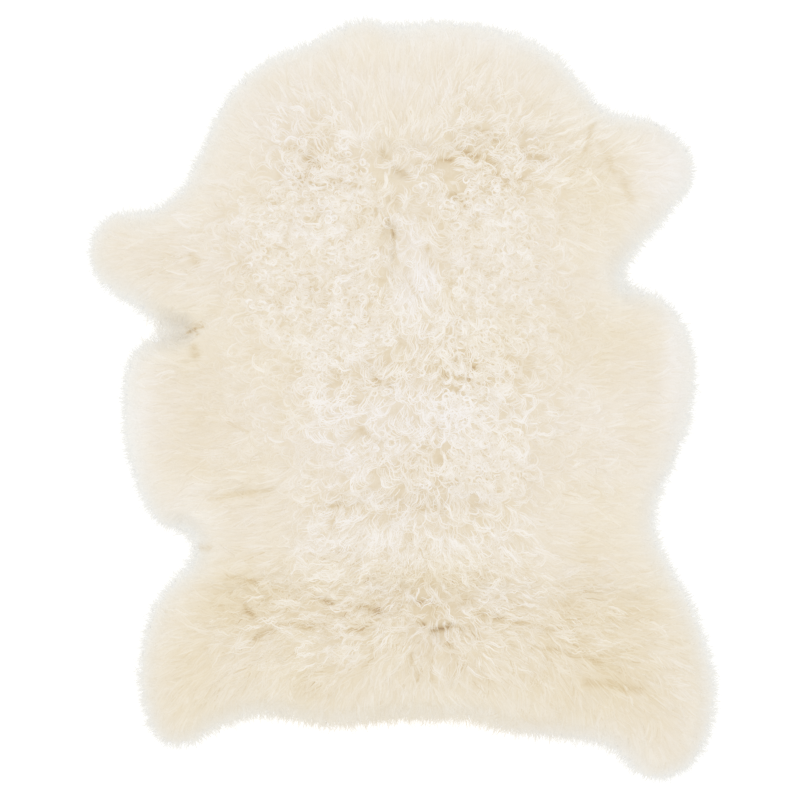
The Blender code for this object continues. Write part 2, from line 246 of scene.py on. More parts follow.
# Patches of the fleece that are paler (above 0) or darker (below 0) than the rest, and that are
# yellower (above 0) or whiter (below 0).
TINTS = (
    # patch, x, y, half width, half height, paleness, warmth
    ("neck", 0.000, 0.370, 0.110, 0.040, 0.20, -0.05),
    # Painted light: the neck edge is paler towards the outline.
    ("neck edge", 0.080, 0.425, 0.120, 0.020, 0.60, -0.20),
    ("neck, left", -0.140, 0.330, 0.060, 0.060, -0.10, -0.30),
    ("neck, right", 0.190, 0.340, 0.060, 0.050, 0.20, 0.10),
    ("neck crease", -0.010, 0.265, 0.050, 0.020, 0.25, 0.05),
    ("left foreleg", -0.300, 0.150, 0.070, 0.050, -0.35, -0.05),
    # Painted light: the left armpit's notch is made paler where shade falls in it.
    ("left armpit", -0.266, 0.085, 0.026, 0.016, 0.60, 0.05),
    ("left armpit, above", -0.252, 0.102, 0.035, 0.014, -0.35, 0.45),
    ("left armpit, below", -0.243, 0.055, 0.025, 0.018, -0.25, 0.45),
    ("left flank", -0.245, -0.020, 0.040, 0.100, -0.60, 0.10),
    # Painted light: the left flank is paler towards the outline.
    ("left flank edge", -0.320, -0.040, 0.030, 0.090, 1.10, -0.30),
    ("left side", -0.150, 0.060, 0.050, 0.060, 0.00, 0.20),
    ("left side, low", -0.200, -0.090, 0.040, 0.030, -0.10, 0.25),
    ("left waist", -0.250, -0.120, 0.030, 0.050, 0.60, 0.00),
    ("right shoulder", 0.225, 0.240, 0.050, 0.060, -0.20, 0.45),
    # Painted light: the right foreleg is paler towards the outline.
    ("right foreleg", 0.320, 0.265, 0.045, 0.055, 1.30, -0.50),
    ("right flank", 0.240, 0.080, 0.060, 0.050, -0.30, 0.35),
    ("right side", 0.110, 0.060, 0.050, 0.040, 0.00, 0.20),
    # Painted light: the right flank is paler towards the outline.
    ("right flank edge", 0.325, 0.050, 0.024, 0.110, 1.30, -0.40),
    ("right waist", 0.240, -0.140, 0.050, 0.040, 0.10, 0.40),
    ("spine", 0.014, 0.150, 0.020, 0.060, 0.90, -0.45),
    ("middle", 0.010, -0.020, 0.085, 0.040, 0.75, -0.30),
    ("right fan", 0.170, -0.025, 0.070, 0.035, 0.60, -0.10),
    ("left middle", -0.060, -0.060, 0.060, 0.040, 0.15, -0.25),
    ("loin", -0.010, -0.150, 0.080, 0.040, 0.30, -0.15),
    ("left haunch", -0.200, -0.222, 0.070, 0.045, -0.90, 0.50),
    ("left hind leg, outer", -0.255, -0.310, 0.040, 0.060, -0.20, 0.30),
    ("right haunch", 0.270, -0.240, 0.080, 0.070, -0.45, 0.35),
    ("rump", 0.000, -0.245, 0.300, 0.034, -0.45, 0.05),
    ("rump, middle", 0.040, -0.265, 0.060, 0.030, -0.05, -0.15),
    ("rump, top edge", 0.030, -0.205, 0.110, 0.018, -0.70, 0.35),
    ("hindquarters", 0.030, -0.310, 0.400, 0.080, -0.60, 0.16),
    ("left hind leg", -0.220, -0.375, 0.070, 0.035, -0.40, 0.40),
    ("right hind leg", 0.235, -0.340, 0.080, 0.050, -0.40, 0.35),
    ("tail", 0.010, -0.375, 0.180, 0.022, -0.05, 0.50),
    ("tail, left", -0.120, -0.340, 0.055, 0.035, -0.30, 0.35),
)

# Stretches where the painted rim light is weaker than elsewhere (above 0) or stronger (below 0),
# and where the wool reaches further out (above 0) or less far.
RIM_STRETCHES = (
    # stretch, x, y, half width, half height, share of the painted rim light taken away, reach
    ("neck edge", -0.010, 0.430, 0.110, 0.040, 0.00, 0.0018),
    ("neck corner, right", 0.175, 0.395, 0.065, 0.045, 0.00, 0.0036),
    ("right flank", 0.340, 0.020, 0.040, 0.080, 0.00, 0.0007),
    ("tail", 0.010, -0.385, 0.210, 0.050, 0.70, 0.0026),
    ("left armpit", -0.262, 0.085, 0.036, 0.020, 0.50, -0.0010),
    ("left hind leg", -0.265, -0.310, 0.040, 0.060, 0.15, 0.0000),
    ("left haunch", -0.225, -0.208, 0.030, 0.028, 0.00, -0.0032),
    ("left waist", -0.240, -0.185, 0.050, 0.045, -0.20, -0.0003),
    ("left flank", -0.315, -0.030, 0.050, 0.095, -0.30, -0.0014),
    ("left foreleg", -0.335, 0.165, 0.050, 0.045, 0.00, -0.0006),
    # Painted light: the right notch is made paler where shade falls in it.
    ("right notch", 0.265, 0.130, 0.040, 0.035, -0.30, -0.0014),
)


def smooth(low, high, value):
    """0 up to low, 1 from high on, and a soft S between them."""
    share = np.clip((value - low) / (high - low), 0.0, 1.0)
    return share * share * (3.0 - 2.0 * share)


def segment_distance(x, y, x0, y0, x1, y1):
    """Distance in the plane of each place to one segment, or to many along the last axis."""
    span_x, span_y = x1 - x0, y1 - y0
    share = ((x - x0) * span_x + (y - y0) * span_y) / (span_x**2 + span_y**2)
    share = np.clip(share, 0.0, 1.0)
    return np.hypot(x - x0 - share * span_x, y - y0 - share * span_y)


# The rug's shape as maps over the plan ------------------------------


def rim_edges(shape):
    """The solid's edges between its top and its underside, as rows of two ends."""
    return np.array(
        [
            (*edge.verts[0].co, *edge.verts[1].co)
            for edge in shape.edges
            if (edge.link_faces[0].normal.z > 0) != (edge.link_faces[-1].normal.z > 0)
        ]
    )


def between(values, column, row, ease=lambda share: share):
    """A grid's values at places given in its own columns and rows."""
    c, r = column.astype(int), row.astype(int)
    fx, fy = ease(column - c), ease(row - r)
    near = values[r, c] * (1 - fx) + values[r, c + 1] * fx
    far = values[r + 1, c] * (1 - fx) + values[r + 1, c + 1] * fx
    return near * (1 - fy) + far * fy


class Plan:
    """Maps over the rug's plan, on one grid of cells."""

    def __init__(self, node):
        low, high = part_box(node)
        self.x = np.arange(low.x - SKIRT, high.x + SKIRT, CELL)
        self.y = np.arange(low.y - SKIRT, high.y + SKIRT, CELL)
        self.grid_x, self.grid_y = np.meshgrid(self.x, self.y)
        shape = bmesh.new()
        shape.from_mesh(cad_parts[node].data)
        bmesh.ops.remove_doubles(shape, verts=shape.verts, dist=SAME_POINT)
        rim = rim_edges(shape)
        height = self.heights(BVHTree.FromBMesh(shape), high.z + 1.0)
        shape.free()
        self.inside = self.distance(rim) * np.where(np.isnan(height), -1.0, 1.0)
        rim_height = float(rim[:, 2].mean())
        droop = rim_height * (1.0 + np.minimum(self.inside, 0.0) / RIM_DROOP)
        self.cad_top = np.where(np.isnan(height), np.maximum(droop, FLOOR_GAP), height)

    def heights(self, tree, above):
        """How high the solid's top is over each cell, and no number past its rim."""
        down = Vector((0.0, 0.0, -1.0))
        height = np.full(self.grid_x.shape, np.nan)
        for row, y in enumerate(self.y):
            for column, x in enumerate(self.x):
                hit = tree.ray_cast(Vector((x, y, above)), down)[0]
                if hit is not None:
                    height[row, column] = hit.z
        return height

    def distance(self, rim):
        """Each cell's distance to the nearest stretch of the rim."""
        x0, y0, _, x1, y1, _ = rim.T
        rows = [
            segment_distance(self.x[:, None], y, x0, y0, x1, y1).min(axis=1) for y in self.y
        ]
        return np.array(rows)

    def at(self, values, x, y):
        """A map's values at these places, between the cells' own."""
        column = np.clip((x - self.x[0]) / CELL, 0, len(self.x) - 1.001)
        row = np.clip((y - self.y[0]) / CELL, 0, len(self.y) - 1.001)
        return between(values, column, row)

    def cloud(self, size):
        """A soft random map, about -1 to 1, whose patches are about this size."""
        rows = int(np.ptp(self.y) / size) + 4
        columns = int(np.ptp(self.x) / size) + 4
        knots = rng.uniform(-1.0, 1.0, (rows, columns))
        column, row = (self.grid_x - self.x[0]) / size, (self.grid_y - self.y[0]) / size
        return between(knots, column, row, ease=lambda share: smooth(0, 1, share))

    def patch(self, x, y, half_width, half_height):
        """A soft oval patch, 1 at its middle and 0 far from it."""
        away = ((self.grid_x - x) / half_width) ** 2 + ((self.grid_y - y) / half_height) ** 2
        return np.exp(-away)


plan = Plan(SKIN)


def guide_maps():
    """Flow, stray, curl, tuft and length over the plan: near the rim the flow runs outwards."""
    total = np.zeros(plan.grid_x.shape)
    along_x, along_y, curl, tuft, length = (np.zeros_like(total) for _ in range(5))
    for _, x, y, heading, curls, tufts, long in GUIDES:
        away = np.hypot(plan.grid_x - x, plan.grid_y - y)
        weight = np.exp(-((away / GUIDE_REACH) ** 2)) + 1e-9 / (away**2 + 1e-4)
        along_x += weight * np.cos(np.radians(heading))
        along_y += weight * np.sin(np.radians(heading))
        curl += weight * curls
        tuft += weight * tufts
        length += weight * long
        total += weight
    along_x, along_y = along_x / total, along_y / total
    out_y, out_x = np.gradient(-plan.inside, CELL)
    rim_say = RIM_SAY * (1 - smooth(0.0, RIM_SAY_REACH, plan.inside))
    along_x = along_x * (1 - rim_say) + out_x * rim_say
    along_y = along_y * (1 - rim_say) + out_y * rim_say
    norm = np.maximum(np.hypot(along_x, along_y), 1e-6)
    inner = smooth(*CURLS_START, plan.inside)
    stray = 1 - smooth(0.2, 0.8, norm)
    curl, tuft, length = curl / total * inner, tuft / total, length / total
    return along_x / norm, along_y / norm, stray, curl, tuft, length


WOBBLE_X, WOBBLE_Y = WOBBLE * plan.cloud(0.012), WOBBLE * plan.cloud(0.012)


def troughs_at(x, y):
    """How deep the troughs are at these places, and how far they get a darker, warmer colour:
    painted shade with the yellower deep wool.
    """
    x, y = x + plan.at(WOBBLE_X, x, y), y + plan.at(WOBBLE_Y, x, y)
    depth, share = np.zeros(x.shape), np.zeros(x.shape)
    for _, x0, y0, x1, y1, half_width, deep in TROUGHS:
        away = segment_distance(x, y, x0, y0, x1, y1)
        here = np.exp(-((away / half_width) ** 2))
        depth = np.maximum(depth, deep * here)
        share = np.maximum(share, here * (deep / TROUGH_FULL) ** 0.5)
    return depth, share


def tint_maps():
    """How pale the wool is over the plan, about 0 on average, with painted light in the patches at
    the rim and in the left armpit, and how warm, from 0 to 1.
    """
    pale = 0.18 * plan.cloud(0.045) + 0.14 * plan.cloud(0.020)
    pale += 0.90 * plan.cloud(0.0075) * CURL + 0.35 * plan.cloud(0.0095) * TUFT
    warm = 0.40 - 0.08 * CURL + 0.12 * plan.cloud(0.030) + 0.14 * plan.cloud(0.012)
    for _, x, y, half_width, half_height, paleness, warmth in TINTS:
        here = plan.patch(x, y, half_width, half_height)
        pale += paleness * here
        warm += warmth * here
    return pale, np.clip(warm, 0.0, 1.0)


def rim_maps():
    """How far the painted rim light shows, 1 in most places, and how much further wool reaches."""
    tone, reach = np.ones(plan.grid_x.shape), np.zeros(plan.grid_x.shape)
    for _, x, y, half_width, half_height, share, further in RIM_STRETCHES:
        here = plan.patch(x, y, half_width, half_height)
        tone -= share * here
        reach += further * here
    return tone, reach


FLOW_X, FLOW_Y, STRAY, CURL, TUFT, LENGTH = guide_maps()
TROUGH = troughs_at(plan.grid_x, plan.grid_y)[0]
TINT, WARM = tint_maps()
RIM_LIGHT_TONE, RIM_REACH = rim_maps()
LUMPS = 0.0012 * plan.cloud(0.016) + 0.0012 * plan.cloud(0.034)
LUMPS += 0.0010 * plan.cloud(0.009) * TUFT
TOP = plan.cad_top + (LUMPS - TROUGH) * smooth(0.0, UNEVEN_FROM, plan.inside)
TOP = FLOOR_GAP + (TOP - FLOOR_GAP) * smooth(-ROLL_PAST, ROLL, plan.inside)
SLOPE_Y, SLOPE_X = np.gradient(TOP, CELL)


# Materials ----------------------------------------------------------


def seen(*channels):
    """The colour of a flat surface that the studio light shows as these 0 to 255 numbers."""
    shown = np.array(channels) / 255.0
    linear = np.where(shown <= 0.04045, shown / 12.92, ((shown + 0.055) / 1.055) ** 2.4)
    return (*(float(value) / LIGHT for value in linear), 1.0)


def add_node(tree, kind, inputs=(), **settings):
    node = tree.nodes.new(kind)
    for name, value in settings.items():
        setattr(node, name, value)
    for name, value in dict(inputs).items():
        if isinstance(value, bpy.types.NodeSocket):
            tree.links.new(value, node.inputs[name])
        else:
            node.inputs[name].default_value = value
    return node


def colour_ramp(tree, factor, *stops):
    ramp = add_node(tree, "ShaderNodeValToRGB", {"Fac": factor})
    ramp.color_ramp.elements[0].position, ramp.color_ramp.elements[0].color = stops[0]
    ramp.color_ramp.elements[1].position, ramp.color_ramp.elements[1].color = stops[-1]
    for position, colour in stops[1:-1]:
        ramp.color_ramp.elements.new(position).color = colour
    return ramp.outputs["Color"]


def new_material(name, roughness, sheen):
    material = bpy.data.materials.new(name)
    material.use_nodes = True
    tree = material.node_tree
    shader = tree.nodes["Principled BSDF"]
    shader.inputs["Roughness"].default_value = roughness
    shader.inputs["Specular IOR Level"].default_value = 0.25
    shader.inputs["Sheen Weight"].default_value = sheen
    shader.inputs["Sheen Roughness"].default_value = 0.5
    return material, tree, shader


def cover(tree, shader, colour, height, strength, distance):
    """Gives the shader its colour and its fine relief."""
    tree.links.new(colour, shader.inputs["Base Color"])
    relief = add_node(
        tree, "ShaderNodeBump", {"Height": height, "Strength": strength, "Distance": distance}
    )
    tree.links.new(relief.outputs["Normal"], shader.inputs["Normal"])


def wool_material(name, fibre_scale, bump, rim_light_colour):
    """Cream wool: dark and warm in the depths, painted shade with the yellower deep wool, pale at
    the tips, with fine fibres along each strand, and painted light towards the rim.
    """
    material, tree, shader = new_material(name, 0.75, 0.12)
    shade, warm, rim = (
        add_node(tree, "ShaderNodeAttribute", attribute_name=value).outputs["Fac"]
        for value in ("wool_shade", "wool_warm", "wool_rim_light")
    )
    strand = add_node(tree, "ShaderNodeUVMap", uv_map="Strand").outputs["UV"]
    stretched = add_node(
        tree, "ShaderNodeVectorMath", {0: strand, 1: fibre_scale}, operation="MULTIPLY"
    )
    fibres = add_node(
        tree,
        "ShaderNodeTexNoise",
        {"Vector": stretched.outputs["Vector"], "Scale": 1.0, "Detail": 2.0},
    )
    mixed = add_node(
        tree,
        "ShaderNodeMath",
        {0: fibres.outputs["Fac"], 1: 0.20, 2: shade},
        operation="MULTIPLY_ADD",
    )
    # The darkest stops are painted shade for creases and low-lying strands, warmed like the deep
    # wool.
    colour = colour_ramp(
        tree,
        mixed.outputs["Value"],
        (0.00, seen(180, 141, 102)),
        (0.25, seen(222, 203, 171)),
        (0.50, seen(236, 224, 204)),
        (0.75, seen(243, 235, 224)),
        (1.00, seen(251, 247, 244)),
    )
    warmed = add_node(
        tree,
        "ShaderNodeMix",
        {"Factor": warm, 6: colour, 7: YELLOWED},
        data_type="RGBA",
        blend_type="MULTIPLY",
    )
    # Painted light: towards the rim the colour turns to the pale rim light.
    paled = add_node(
        tree,
        "ShaderNodeMix",
        {"Factor": rim, 6: warmed.outputs[2], 7: rim_light_colour},
        data_type="RGBA",
    )
    cover(tree, shader, paled.outputs[2], fibres.outputs["Fac"], bump, 0.0004)
    return material


def hide_material():
    """Pale tanned suede: a fine nap with faint cloudy stains."""
    material, tree, shader = new_material("suede_hide", 0.9, 0.3)
    place = add_node(tree, "ShaderNodeTexCoord").outputs["Object"]
    stains = add_node(
        tree, "ShaderNodeTexNoise", {"Vector": place, "Scale": 9.0, "Detail": 5.0}
    )
    nap = add_node(
        tree, "ShaderNodeTexNoise", {"Vector": place, "Scale": 900.0, "Detail": 3.0}
    )
    mixed = add_node(
        tree,
        "ShaderNodeMath",
        {0: nap.outputs["Fac"], 1: 0.25, 2: stains.outputs["Fac"]},
        operation="MULTIPLY_ADD",
    )
    colour = colour_ramp(
        tree,
        mixed.outputs["Value"],
        (0.35, seen(205, 186, 155)),
        (0.60, seen(225, 211, 186)),
        (0.85, seen(236, 226, 206)),
    )
    cover(tree, shader, colour, nap.outputs["Fac"], 0.4, 0.0003)
    return material


# Meshes -------------------------------------------------------------


def add_object(name, data):
    """A new object in the scene, with this mesh, light or camera."""
    thing = bpy.data.objects.new(name, data)
    bpy.context.scene.collection.objects.link(thing)
    return thing


def make_piece(name, points, faces, material, maps=None):
    """A piece of the rug from arrays: vertices, quads or triangles, and UV maps."""
    mesh = bpy.data.meshes.new(name)
    corners = faces.shape[1]
    mesh.vertices.add(len(points))
    mesh.vertices.foreach_set("co", points.astype(np.float32).ravel())
    mesh.loops.add(faces.size)
    mesh.loops.foreach_set("vertex_index", faces.astype(np.int32).ravel())
    mesh.polygons.add(len(faces))
    mesh.polygons.foreach_set("loop_start", np.arange(0, faces.size, corners, dtype=np.int32))
    mesh.update(calc_edges=True)
    mesh.polygons.foreach_set("use_smooth", np.ones(len(faces), dtype=bool))
    for map_name, places in (maps or {}).items():
        layer = mesh.uv_layers.new(name=map_name, do_init=False)
        layer.uv.foreach_set("vector", places[faces.ravel()].astype(np.float32).ravel())
    mesh.validate()
    mesh.materials.append(material)
    piece = add_object(name, mesh)
    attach(piece, BODY)
    return piece


def colour_wool(piece, points, shade):
    """Gives the wool's vertices what its material reads: shade, with painted shade in it, painted
    light at the rim, and warmth.
    """
    x, y = points[:, 0], points[:, 1]
    # Painted light: paler towards the rim, less so in troughs, set per stretch of the rim.
    rim = np.exp(-np.maximum(plan.at(plan.inside, x, y), 0.0) / RIM_LIGHT_FADE)
    rim = rim * (1 - np.minimum(troughs_at(x, y)[1], 1.0))
    rim = np.clip(rim * plan.at(RIM_LIGHT_TONE, x, y), 0.0, 1.0)
    warm = plan.at(WARM, x, y)
    for attribute_name, values in (("wool_shade", shade), ("wool_rim_light", rim), ("wool_warm", warm)):
        attribute = piece.data.attributes.new(attribute_name, "FLOAT", "POINT")
        attribute.data.foreach_set("value", values.astype(np.float32))


def strand_mesh(name, strands, material):
    """Joins strands into one piece. Each is a flat ribbon along its path, narrowing to its tip."""
    path, side, width, shade = strands
    count, steps = path.shape[:2]
    half = 0.5 * side * width[..., None]
    points = np.stack([path - half, path + half], axis=2).reshape(-1, 3)
    points[:, 2] = np.maximum(points[:, 2], FLOOR_GAP)
    start = (np.arange(count)[:, None] * steps + np.arange(steps - 1)) * 2
    faces = np.stack([start, start + 1, start + 3, start + 2], axis=-1).reshape(-1, 4)
    piece = make_piece(name, points, faces, material, strand_maps(count, steps))
    colour_wool(piece, points, np.repeat(shade.ravel(), 2))
    return piece


def strand_maps(count, steps):
    """UV maps of the ribbons: one for the fibres' texture, and one where each has its own cell."""
    along = np.broadcast_to(np.linspace(0.0, 1.0, steps)[None, :, None], (count, steps, 2))
    across = np.broadcast_to(np.array([0.0, 1.0]), (count, steps, 2))
    number = np.arange(count)[:, None, None]
    fibres = np.stack([across + number * 0.73, along + number * 0.37], axis=-1)
    cells = int(np.ceil(count**0.5))
    margin, inner = CELL_MARGIN, 1.0 - 2.0 * CELL_MARGIN
    column = (number % cells + margin + inner * across) / cells
    row = (number // cells + margin + inner * along) / cells
    own_cell = np.stack([column, row], axis=-1)
    return {"Strand": fibres.reshape(-1, 2), "OFBake": own_cell.reshape(-1, 2)}


def trimmed_grid(step, edge, most_pull, outermost):
    """A grid of quads over the plan: x, y, distance inside the rim, and faces.

    It keeps what lies further in than outermost, and draws the vertices near the rim in to the
    edge, a map of how far inside the rim the grid ends.
    """
    x, y = np.arange(plan.x[0], plan.x[-1], step), np.arange(plan.y[0], plan.y[-1], step)
    x, y = np.meshgrid(x, y)
    near = plan.at(plan.inside, x, y)
    out_y, out_x = np.gradient(plan.inside, CELL)
    pull = np.clip(plan.at(edge, x, y) - near, 0.0, most_pull)
    number = np.arange(x.size).reshape(x.shape)
    faces = np.stack(
        [number[:-1, :-1], number[:-1, 1:], number[1:, 1:], number[1:, :-1]], axis=-1
    )
    keep = near > outermost
    keep = keep[:-1, :-1] & keep[:-1, 1:] & keep[1:, 1:] & keep[1:, :-1]
    used, faces = np.unique(faces[keep], return_inverse=True)
    x, y = x + pull * plan.at(out_x, x, y), y + pull * plan.at(out_y, x, y)
    return x.ravel()[used], y.ravel()[used], near.ravel()[used], faces.reshape(-1, 4)


# Strands ------------------------------------------------------------


def staggered(spacing, jitter):
    """Places all over the plan on staggered rows, each moved a little at random."""
    row_gap = spacing * 3**0.5 / 2
    rows = np.arange(plan.y[0], plan.y[-1], row_gap)
    columns = np.arange(plan.x[0], plan.x[-1], spacing)
    x, y = np.meshgrid(columns, rows)
    x = x + (np.arange(len(rows)) % 2)[:, None] * spacing / 2
    x = x + rng.uniform(-jitter, jitter, x.shape) * spacing
    y = y + rng.uniform(-jitter, jitter, y.shape) * spacing
    return x.ravel(), y.ravel()


def lock_places(spacing, jitter, in_zone, least_inside):
    """Places of one kind of lock: all over its zone, at least this far inside the rim."""
    x, y = staggered(spacing, jitter)
    found = in_zone(x, y) & (plan.at(plan.inside, x, y) > least_inside)
    return x[found], y[found]


def flow_heading(x, y):
    """The way the wool lies at these places, in radians."""
    return np.arctan2(plan.at(FLOW_Y, x, y), plan.at(FLOW_X, x, y))


def unit(vectors):
    """The same directions at length 1."""
    return vectors / np.maximum(np.linalg.norm(vectors, axis=-1, keepdims=True), 1e-9)


def finish_paths(x, y, lift, width, roll, tip, scatter):
    """Ribbon paths, side vectors, widths and shades from plan paths and lifts above the fleece."""
    z = plan.at(TOP, x, y) + lift
    path = np.stack([x, y, z], axis=-1)
    tangent = unit(np.gradient(path, axis=1))
    normal = np.stack(
        [-plan.at(SLOPE_X, x, y), -plan.at(SLOPE_Y, x, y), np.ones_like(x)], axis=-1
    )
    side = unit(np.cross(normal, tangent))
    over = np.cross(tangent, side)
    side = side * np.cos(roll)[..., None] + over * np.sin(roll)[..., None]
    return path, side, width, wool_shade(x, y, lift, tip, scatter)


def wool_shade(x, y, lift, tip, scatter):
    """Where each point of a strand lies between dark warm wool, 0, and pale tips, 1.

    Troughs and low-lying points are darker and warmer, raised ones paler: painted shade and light,
    as the locks cast no shade, with the yellower deep wool. Tufted wool differs more from strand
    to strand and with its height.
    """
    rough = 0.15 + 1.05 * plan.at(TUFT, x, y)
    # Painted shade: darker in troughs and low down, paler high up; the tip term is the wool's own
    # paler ends.
    shade = 0.60 + 0.16 * plan.at(TINT, x, y) - 0.34 * troughs_at(x, y)[1]
    shade = shade + 45.0 * np.clip(lift + 0.0005, -0.0050, 0.0030) * rough
    shade = shade + 0.06 * (tip - 0.5) + scatter[:, None] * rough
    return np.clip(shade, 0.0, 1.0)


RAGGED = RIM_REACH + 0.0014 * plan.cloud(0.011) + 0.0018 * plan.cloud(0.022)


def reach_rim(x, y, heading, length, short, past):
    """Lengths cut so that tips end about at the rim: the shortest inside it, others past that."""
    here = plan.at(plan.inside, x, y)
    tip = plan.at(plan.inside, x + length * np.cos(heading), y + length * np.sin(heading))
    past = np.minimum(rng.exponential(past, np.shape(x)), PAST_MOST) - short
    past = past + plan.at(RAGGED, x, y)
    share = (here + past) / np.maximum(here - tip, 1e-6)
    return np.where(tip < -past, length * np.clip(share, 0.05, 1.0), length)


class Locks:
    """Locks of one kind. Each is a bundle of strands that start together."""

    def __init__(self, places, strands, steps):
        self.x, self.y = places
        self.strands = strands
        self.steps = steps
        self.count = len(self.x)
        self.many = self.count * strands
        self.s = np.linspace(0.0, 1.0, steps)[None, :]  # 0 at the root, 1 at the tip

    def each(self, values):
        """Each lock's value, given to each of its strands."""
        return np.repeat(values, self.strands)

    def spread(self, values, amount):
        """Each lock's value, given to each of its strands with a normal scatter."""
        return self.each(values) + rng.normal(0.0, 1.0, self.many) * amount

    def rolls(self, all_along, towards_tip):
        """How far each strand's ribbon leans over to one side."""
        roll = rng.normal(0.0, all_along, self.many)[:, None]
        return roll + rng.normal(0.0, towards_tip, self.many)[:, None] * self.s


class LyingLocks(Locks):
    """Locks that lie along the flow of the wool: silky where they turn little, else hooked.

    Where the wool gathers in tufts they stray, bend, wave and rise more.
    """

    def __init__(self, spacing, strands, steps, in_zone, turn):
        super().__init__(lock_places(spacing, 0.42, in_zone, 0.005), strands, steps)
        tuft = plan.at(TUFT, self.x, self.y)
        stray = 0.16 + 0.22 * tuft + 1.2 * plan.at(STRAY, self.x, self.y)
        self.heading = flow_heading(self.x, self.y) + rng.normal(0.0, stray, self.count)
        self.length = plan.at(LENGTH, self.x, self.y) * rng.uniform(0.75, 1.25, self.count)
        self.curl = rng.uniform(*turn, self.count) * rng.choice([-1.0, 1.0], self.count)
        self.bend = rng.normal(0.0, 0.20 + 0.35 * tuft, self.count) + self.curl
        self.wave = rng.uniform(0.0004, 0.0017, self.count) * (0.15 + 1.25 * tuft**2)
        self.wavelength = rng.uniform(0.010, 0.018, self.count)
        self.phase = rng.uniform(0, 2 * np.pi, self.count)
        self.high = rng.normal(0.0, 0.0002 + 0.0004 * tuft, self.count)
        radius = spacing * rng.uniform(0.35, 0.65, self.count)
        angle = rng.uniform(0, 2 * np.pi, self.many)
        out = np.sqrt(rng.uniform(0, 1, self.many))
        self.off_x = self.each(radius) * out * np.cos(angle)
        self.off_y = self.each(radius) * out * np.sin(angle)
        self.crown = 1.0 - 2.0 * out**2  # 1 at the lock's middle, -1 at its outside
        self.tuft = self.each(tuft)

    def ripples(self):
        """How far the crimp moves each point of a strand to its side."""
        waves = self.each(self.length / self.wavelength)[:, None]
        phase = self.spread(self.phase, 0.20)[:, None]
        ripple = self.each(self.wave)[:, None] * np.sin(2 * np.pi * self.s * waves + phase)
        return ripple * smooth(0.0, 0.4, self.s)

    def plan_paths(self):
        """Where the strands run over the plan, gathering towards the lock's tip."""
        power = np.where(np.abs(self.each(self.curl)) > 1.0, 2.2, 1.3)[:, None]
        theta = self.spread(self.heading, 0.07)[:, None]
        theta = theta + self.spread(self.bend, 0.10)[:, None] * self.s**power
        root_x, root_y = self.each(self.x) + self.off_x, self.each(self.y) + self.off_y
        long = self.spread(self.length, 0.003)
        long = reach_rim(root_x, root_y, theta[:, 0], long, LOCKS_SHORT, LOCKS_PAST)
        step = (long / (self.steps - 1))[:, None]
        gather = 1.0 - (0.25 + 0.45 * self.tuft)[:, None] * smooth(0.1, 1.0, self.s)
        ripple = self.ripples()
        x = self.each(self.x)[:, None] + self.off_x[:, None] * gather
        y = self.each(self.y)[:, None] + self.off_y[:, None] * gather
        x = x + np.cumsum(step * np.cos(theta), axis=1) - ripple * np.sin(theta)
        y = y + np.cumsum(step * np.sin(theta), axis=1) + ripple * np.cos(theta)
        return x, y

    def lifts(self):
        """How high the strands lie above the fleece: sunk at the root and low at the tip."""
        loft = (0.0001 + 0.0014 * self.tuft) * self.each(rng.uniform(0.1, 1.4, self.count))
        loft = loft * rng.uniform(0.75, 1.25, self.many) + 0.0003 * self.crown * self.tuft
        arch = smooth(0.0, 0.16, self.s) * (1 - 0.85 * smooth(0.72, 1.0, self.s))
        return -0.0018 + (0.0014 + loft + self.each(self.high))[:, None] * arch

    def widths(self, width):
        """Ribbons widest near the root, wider where the wool is silky."""
        wide = (width * (1.25 - 0.5 * self.tuft) * rng.uniform(0.7, 1.3, self.many))[:, None]
        wide = wide * (0.12 + 0.88 * (1 - self.s**2.2))
        return wide * (0.6 + 0.4 * smooth(0, 0.3, self.s))

    def finished(self, width):
        """What finish_paths gives for all the strands."""
        x, y = self.plan_paths()
        lift, wide, roll = self.lifts(), self.widths(width), self.rolls(0.22, 0.25)
        # Painted shade: a lock's outer strands are darker and its middle ones paler.
        scatter = self.spread(rng.normal(0.0, 0.09, self.count), 0.08) + 0.10 * self.crown
        return finish_paths(x, y, lift, wide, roll, self.s, scatter)


